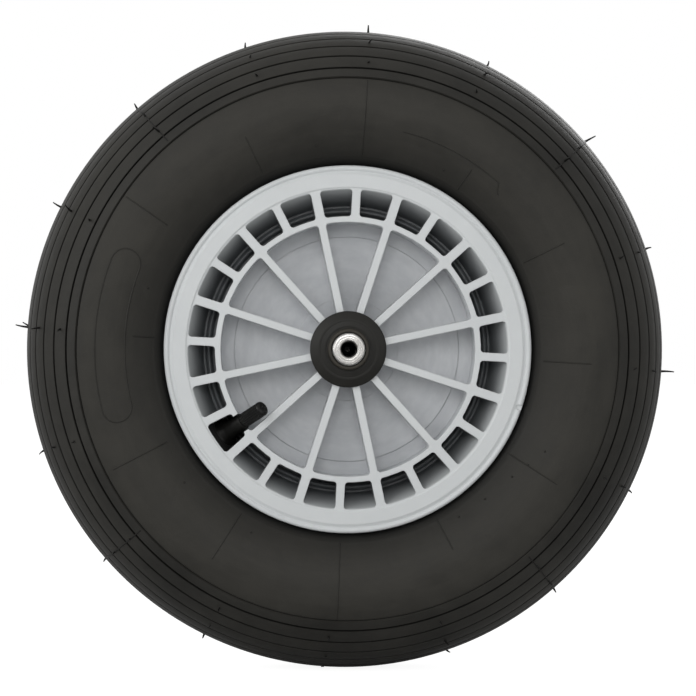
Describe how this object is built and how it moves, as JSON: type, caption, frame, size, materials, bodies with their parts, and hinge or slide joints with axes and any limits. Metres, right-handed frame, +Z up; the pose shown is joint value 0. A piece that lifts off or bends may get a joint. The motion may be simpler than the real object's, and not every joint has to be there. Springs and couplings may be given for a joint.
{
  "type": "wheelbarrow wheel",
  "caption": "Pneumatic wheelbarrow wheel: ribbed black tyre on a grey ribbed plastic rim with a snap-in valve, turning on roller bearings round a tapped steel axle.",
  "frame": {"origin": "centre of the wheel, on the axle's axis, midway between the axle's two ends", "axes": "+Y along the axle, away from the valve side; +Z up; the valve side faces -Y"},
  "size_m": [0.4, 0.1, 0.4],
  "materials": {
    "tyre_rubber": "matte",
    "rim_plastic": "satin",
    "black_plastic": "matte",
    "cage_plastic": "satin",
    "steel": "brushed",
    "spring_steel": "satin",
    "brass": "satin",
    "black_rubber": "satin"
  },
  "bodies": {
    "axle_body": {"axle": "steel", "thrust_washer_front": "steel", "thrust_washer_back": "steel", "retaining_ring_front": "spring_steel", "retaining_ring_back": "spring_steel"},
    "wheel": {"tyre": "tyre_rubber", "rim": "rim_plastic", "race_sleeve": "steel", "hub_cap_front": "black_plastic", "hub_cap_back": "black_plastic", "valve_rubber": "black_rubber", "valve_stem": "brass", "valve_core": "brass", "core_gasket": "black_rubber", "valve_spring": "spring_steel"},
    "bearing_front": {"bearing_cage_front": "cage_plastic", "rollers_front": "steel"},
    "bearing_back": {"bearing_cage_back": "cage_plastic", "rollers_back": "steel"},
    "pin": {"valve_pin": "brass", "pin_seal": "black_rubber"},
    "cap": {"valve_cap": "black_plastic", "cap_washer": "black_rubber"}
  },
  "joints": [
    {"name": "wheel_spin", "type": "hinge", "parent": "axle_body", "child": "wheel", "pos_m": [0, 0, 0], "axis": [0, 1, 0], "continuous": true},
    {"name": "bearing_front_spin", "type": "hinge", "parent": "axle_body", "child": "bearing_front", "pos_m": [0, -0.0241, 0], "axis": [0, 1, 0], "continuous": true},
    {"name": "bearing_back_spin", "type": "hinge", "parent": "axle_body", "child": "bearing_back", "pos_m": [0, 0.0241, 0], "axis": [0, 1, 0], "continuous": true},
    {"name": "valve_cap_off", "type": "slide", "parent": "wheel", "child": "cap", "axis": [0.6675, -0.5878, 0.4571], "range_m": [0, 0.03]},
    {"name": "valve_pin_press", "type": "slide", "parent": "wheel", "child": "pin", "axis": [-0.6675, 0.5878, -0.4571], "range_m": [0, 0.0012], "stiffness_N_per_m": 1500, "springref_m": -0.0006, "deforming": ["valve_spring"]}
  ],
  "couplings": [
    {"joint": "bearing_front_spin", "follows": "wheel_spin", "ratio": 0.6},
    {"joint": "bearing_back_spin", "follows": "wheel_spin", "ratio": 0.6}
  ]
}
